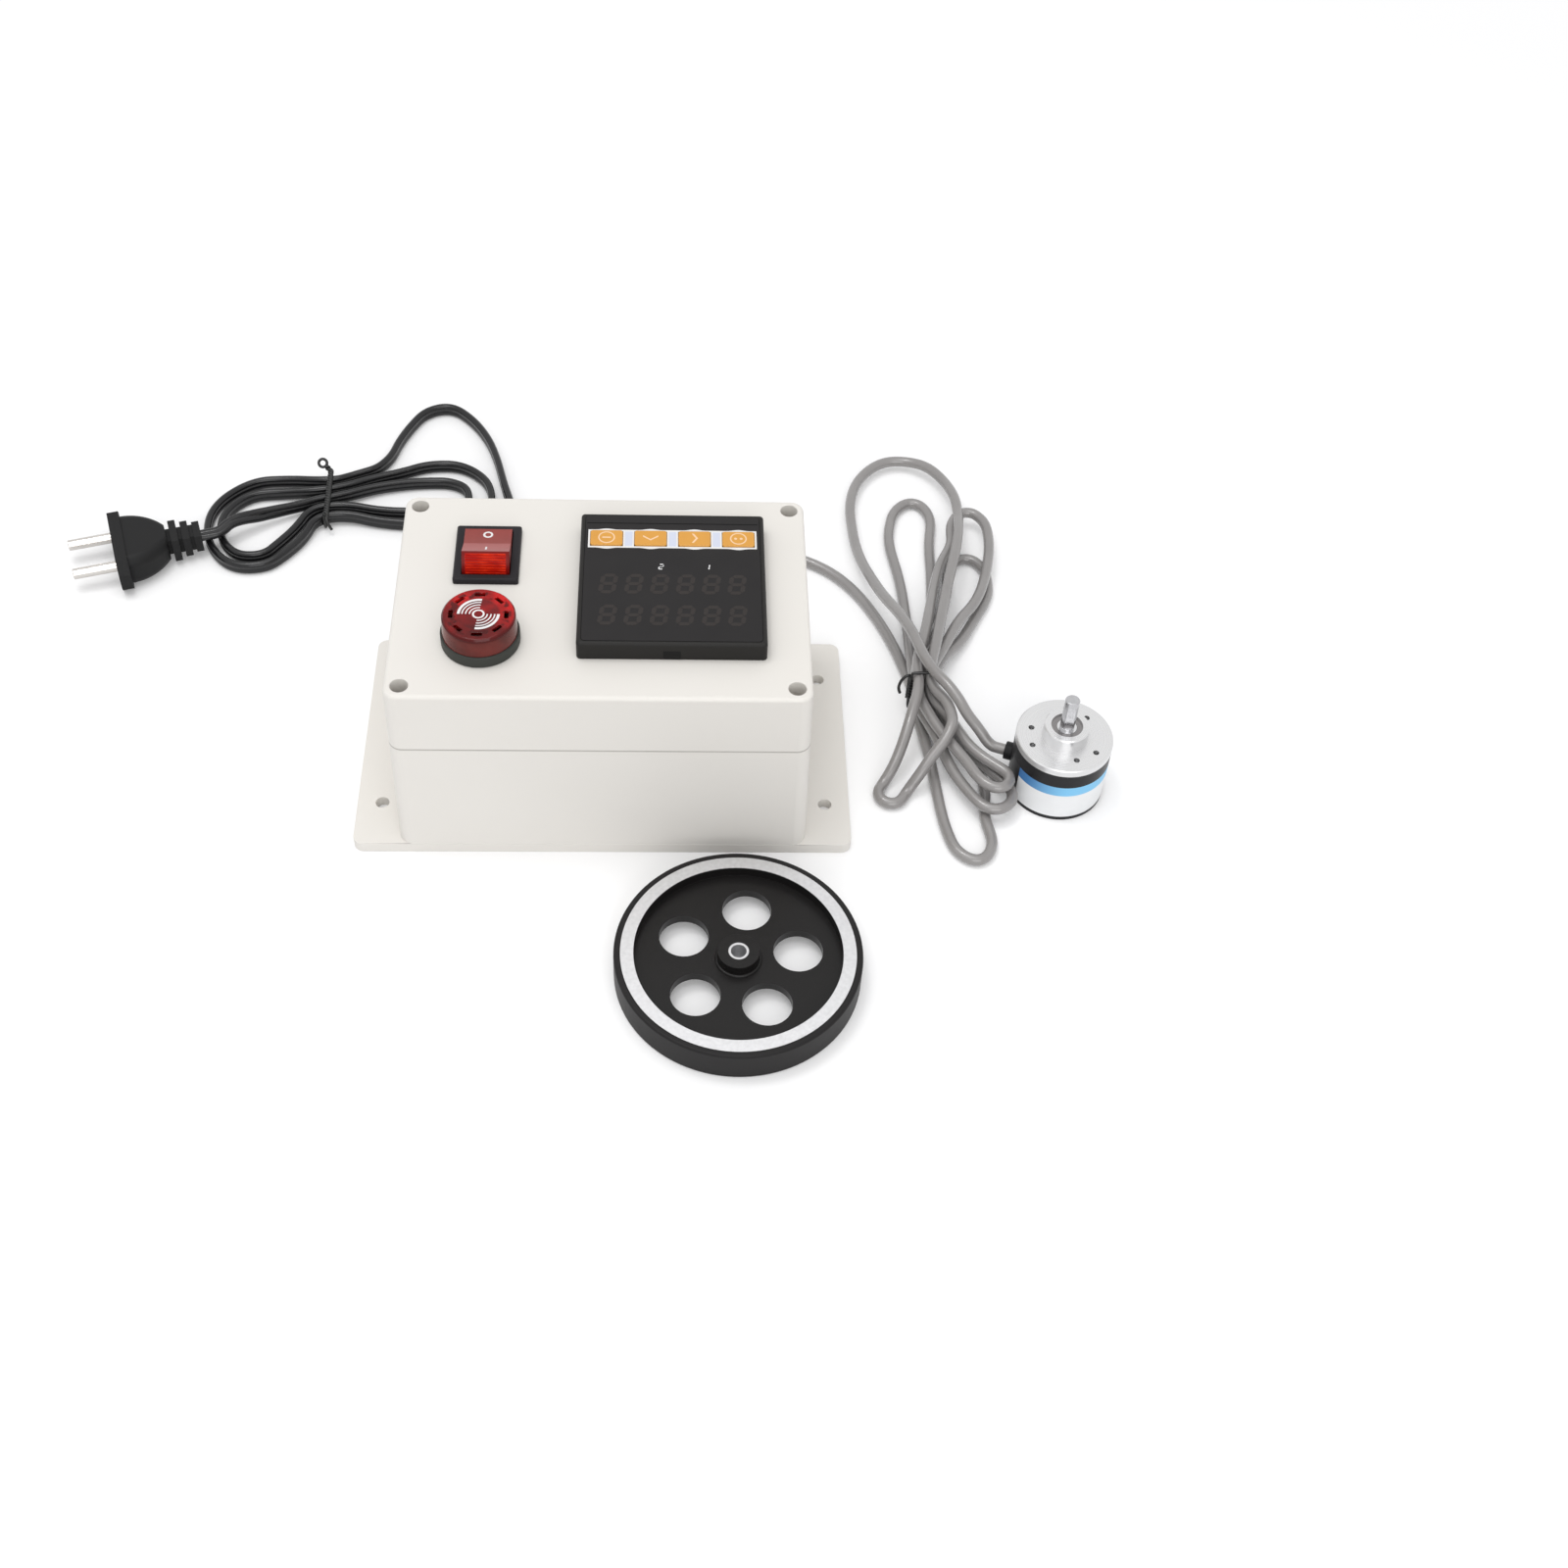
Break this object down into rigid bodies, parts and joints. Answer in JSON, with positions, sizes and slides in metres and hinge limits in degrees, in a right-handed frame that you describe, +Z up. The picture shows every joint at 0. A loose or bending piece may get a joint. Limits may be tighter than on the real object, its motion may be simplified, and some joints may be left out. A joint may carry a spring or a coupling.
{
  "type": "cable length counter",
  "caption": "Wall box with a panel counter, a rocker switch and a flashing sounder, wired to a shaft encoder with a measuring wheel and to a mains plug.",
  "frame": {"origin": "centre of the box's four mounting holes, on the underside of its base", "axes": "+X to the right along the box's length, +Y to the back where the cords leave, +Z up"},
  "size_m": [0.4505, 0.3796, 0.1037],
  "materials": {
    "box_plastic": "fine satin",
    "grey_rubber": "matte",
    "black_rubber": "matte",
    "steel": "satin",
    "bearing_steel": "polished",
    "brass": "satin",
    "nickel": "polished",
    "black_plastic": "satin",
    "panel_film": "satin film",
    "display_glass": "smoked",
    "circuit_board": "lacquered",
    "transformer_wrap": "taped",
    "relay_plastic": "moulded",
    "terminal_plastic": "moulded",
    "clip_plastic": "moulded",
    "key_orange": "satin",
    "red_plastic": "translucent, polished",
    "white_plastic": "moulded",
    "red_lens": "clear red moulding",
    "cover_black": "satin paint",
    "label_print": "coated label",
    "aluminium": "fine turned",
    "disk_film": "clear",
    "mains_sheath": "satin",
    "signal_sheath": "satin"
  },
  "bodies": {
    "counter": {"lid_seal": "grey_rubber", "box_base": "box_plastic", "box_lid": "box_plastic", "lid_screws": "steel", "lid_inserts": "brass", "meter_frame": "black_plastic", "meter_film": "panel_film", "meter_case": "black_plastic", "upper_display": "display_glass", "lower_display": "display_glass", "meter_front_board": "circuit_board", "meter_main_board": "circuit_board", "meter_transformer": "transformer_wrap", "meter_relays": "relay_plastic", "meter_terminals": "terminal_plastic", "terminal_screws": "steel", "meter_clips": "clip_plastic", "key_switches": "black_plastic", "switch_housing": "black_plastic", "switch_terminals": "brass", "alarm_seal": "black_rubber", "alarm_collar": "black_plastic", "alarm_lens": "red_lens", "alarm_board": "circuit_board", "alarm_sounder": "black_plastic", "alarm_nut": "black_plastic", "alarm_terminals": "brass", "mains_gland": "black_plastic", "signal_gland": "black_plastic", "encoder_cover": "cover_black", "cover_screws": "steel", "encoder_gland": "black_rubber", "encoder_label": "label_print", "encoder_face": "aluminium", "bearing_outer_rings": "bearing_steel", "bearing_balls": "bearing_steel", "encoder_board": "circuit_board", "mains_plug": "mains_sheath", "plug_pins": "nickel", "mains_cord": "mains_sheath", "mains_hank": "mains_sheath", "signal_cable": "signal_sheath", "signal_hank": "signal_sheath", "mains_tie": "black_plastic", "signal_tie": "black_plastic"},
    "rocker": {"switch_rocker": "red_plastic", "switch_plunger": "white_plastic"},
    "contact": {"switch_contact": "brass"},
    "key_1": {"meter_key_1": "key_orange"},
    "key_2": {"meter_key_2": "key_orange"},
    "key_3": {"meter_key_3": "key_orange"},
    "key_4": {"meter_key_4": "key_orange"},
    "encoder_rotor": {"encoder_shaft": "steel", "disk_hub": "brass", "code_disk": "disk_film", "bearing_inner_rings": "bearing_steel"},
    "wheel": {"wheel_disc": "aluminium", "wheel_tyre": "black_rubber", "wheel_grub_screw": "steel"}
  },
  "joints": [
    {"name": "rocker_tilt", "type": "hinge", "parent": "counter", "child": "rocker", "pos_m": [-0.0454, 0.0201, 0.0888], "axis": [1, 0, 0], "range_deg": [0, 30]},
    {"name": "contact_tilt", "type": "hinge", "parent": "counter", "child": "contact", "pos_m": [-0.0454, 0.0201, 0.08085], "axis": [1, 0, 0], "range_deg": [-10, 0]},
    {"name": "key_1_press", "type": "slide", "parent": "counter", "child": "key_1", "axis": [0, 0, -1], "range_m": [0, 0.0004], "stiffness_N_per_m": 1500},
    {"name": "key_2_press", "type": "slide", "parent": "counter", "child": "key_2", "axis": [0, 0, -1], "range_m": [0, 0.0004], "stiffness_N_per_m": 1500},
    {"name": "key_3_press", "type": "slide", "parent": "counter", "child": "key_3", "axis": [0, 0, -1], "range_m": [0, 0.0004], "stiffness_N_per_m": 1500},
    {"name": "key_4_press", "type": "slide", "parent": "counter", "child": "key_4", "axis": [0, 0, -1], "range_m": [0, 0.0004], "stiffness_N_per_m": 1500},
    {"name": "shaft_spin", "type": "hinge", "parent": "counter", "child": "encoder_rotor", "pos_m": [0.1879, -0.0185, 0.0303], "axis": [0, 0, 1], "continuous": true},
    {"name": "wheel_spin", "type": "hinge", "parent": "counter", "child": "wheel", "pos_m": [0.053, -0.1151, 0.007], "axis": [0, 0, 1], "continuous": true}
  ],
  "couplings": [
    {"joint": "contact_tilt", "follows": "rocker_tilt", "ratio": -0.33333}
  ]
}
